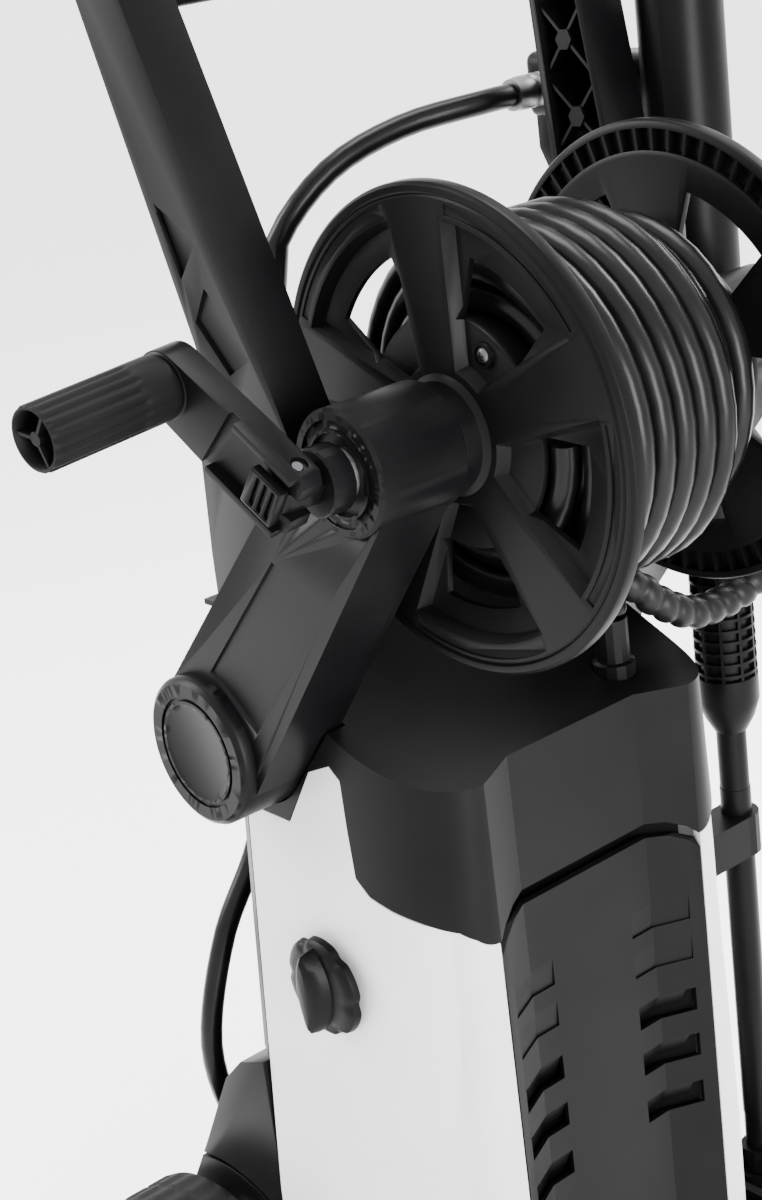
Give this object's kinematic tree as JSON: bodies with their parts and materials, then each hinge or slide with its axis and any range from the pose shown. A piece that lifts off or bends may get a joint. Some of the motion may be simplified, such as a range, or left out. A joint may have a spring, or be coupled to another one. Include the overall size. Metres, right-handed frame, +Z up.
{
  "type": "pressure washer",
  "caption": "Upright wheeled electric pressure washer with white side covers, a hose reel with a folding crank on top, a push handle, and a spray gun with its lance held at one side.",
  "frame": {"origin": "middle of the machine's footprint on the floor", "axes": "+Z up, the front faces -Y, +X is the right-hand side for a person who faces the front, the reel's axis runs along X"},
  "size_m": [0.4659, 0.438, 1.0229],
  "materials": {
    "black_moulding": "satin moulded plastic with a fine grain",
    "white_moulding": "satin white moulded plastic",
    "soft_rubber": "matt soft grip rubber",
    "tyre_rubber": "matt tyre",
    "hose_rubber": "smooth black hose with a soft gloss",
    "bright_steel": "bright plated steel",
    "brass": "machined brass",
    "cast_alloy": "die cast aluminium",
    "grey_moulding": "dark grey moulded plastic"
  },
  "bodies": {
    "chassis": {"hood": "black_moulding", "side_cover_left": "white_moulding", "side_cover_right": "white_moulding", "back_cover": "black_moulding", "front_panel": "black_moulding", "base": "black_moulding", "front_foot": "soft_rubber", "axle": "bright_steel", "arm_cross_tube": "bright_steel", "reel_arm_left": "black_moulding", "reel_arm_right": "black_moulding", "upright_left": "black_moulding", "upright_right": "black_moulding", "crossbar": "black_moulding", "push_handle": "black_moulding", "switch_box": "grey_moulding", "motor_case": "cast_alloy", "motor_end_bell": "cast_alloy", "pump_body": "cast_alloy", "plunger_1": "bright_steel", "plunger_2": "bright_steel", "plunger_3": "bright_steel", "pump_head": "brass", "riser_pipe": "bright_steel", "outlet_port": "bright_steel", "water_inlet": "brass", "inlet_pipe": "hose_rubber", "cable_gland": "black_moulding", "gun_body": "black_moulding", "lance_grip": "black_moulding", "lance_tube": "bright_steel", "lance_clip": "black_moulding", "nozzle_cup": "black_moulding", "swivel_elbow": "brass", "link_hose": "hose_rubber", "hose_ferrule": "bright_steel", "free_hose": "hose_rubber"},
    "reel": {"reel_flange_left": "black_moulding", "reel_flange_right": "black_moulding", "reel_drum": "black_moulding", "reel_shaft": "cast_alloy", "wound_hose": "hose_rubber", "crank_hub": "black_moulding"},
    "crank": {"crank_arm": "black_moulding", "crank_fold_pin": "bright_steel"},
    "latch": {"crank_latch": "grey_moulding"},
    "grip": {"crank_grip": "soft_rubber"},
    "switch_knob": {"power_knob": "black_moulding"},
    "rotor": {"motor_rotor": "bright_steel", "cooling_fan": "grey_moulding", "swash_plate": "bright_steel"},
    "wheel_left": {"wheel_left": "black_moulding", "tyre_left": "tyre_rubber"},
    "wheel_right": {"wheel_right": "black_moulding", "tyre_right": "tyre_rubber"},
    "trigger": {"trigger": "black_moulding"},
    "trigger_lock": {"trigger_lock": "grey_moulding"},
    "nozzle": {"spray_nozzle": "black_moulding"}
  },
  "joints": [
    {"name": "reel_spin", "type": "hinge", "parent": "chassis", "child": "reel", "pos_m": [0.03494, -0.099, 0.68], "axis": [1, 0, 0], "continuous": true},
    {"name": "crank_fold", "type": "hinge", "parent": "reel", "child": "crank", "pos_m": [-0.14205, -0.099, 0.68], "axis": [0, -0.5878, 0.809], "range_deg": [0, 90]},
    {"name": "latch_slide", "type": "slide", "parent": "crank", "child": "latch", "axis": [-0.0976, 0.8052, 0.585], "range_m": [0, 0.006]},
    {"name": "grip_spin", "type": "hinge", "parent": "crank", "child": "grip", "pos_m": [-0.14976, -0.03539, 0.72621], "axis": [-0.9952, -0.0789, -0.0574], "continuous": true},
    {"name": "power_switch", "type": "hinge", "parent": "chassis", "child": "switch_knob", "pos_m": [-0.08705, -0.002, 0.37], "axis": [-1, 0, 0], "range_deg": [0, 90]},
    {"name": "rotor_spin", "type": "hinge", "parent": "chassis", "child": "rotor", "pos_m": [0.04695, 0.009, 0.3], "axis": [0, 0, 1], "continuous": true},
    {"name": "wheel_left_spin", "type": "hinge", "parent": "chassis", "child": "wheel_left", "pos_m": [-0.12305, 0.123, 0.096], "axis": [1, 0, 0], "continuous": true},
    {"name": "wheel_right_spin", "type": "hinge", "parent": "chassis", "child": "wheel_right", "pos_m": [0.19295, 0.123, 0.096], "axis": [1, 0, 0], "continuous": true},
    {"name": "trigger_pull", "type": "hinge", "parent": "chassis", "child": "trigger", "pos_m": [0.20544, -0.0025, 0.7855], "axis": [1, 0, 0], "range_deg": [0, 8], "stiffness_Nm_per_rad": 0.5, "springref_deg": -5.73},
    {"name": "trigger_lock_slide", "type": "slide", "parent": "chassis", "child": "trigger_lock", "axis": [-1, 0, 0], "range_m": [0, 0.003]},
    {"name": "nozzle_turn", "type": "hinge", "parent": "chassis", "child": "nozzle", "pos_m": [0.20544, -0.033, 0.1], "axis": [0, 0, 1], "range_deg": [0, 90]}
  ]
}
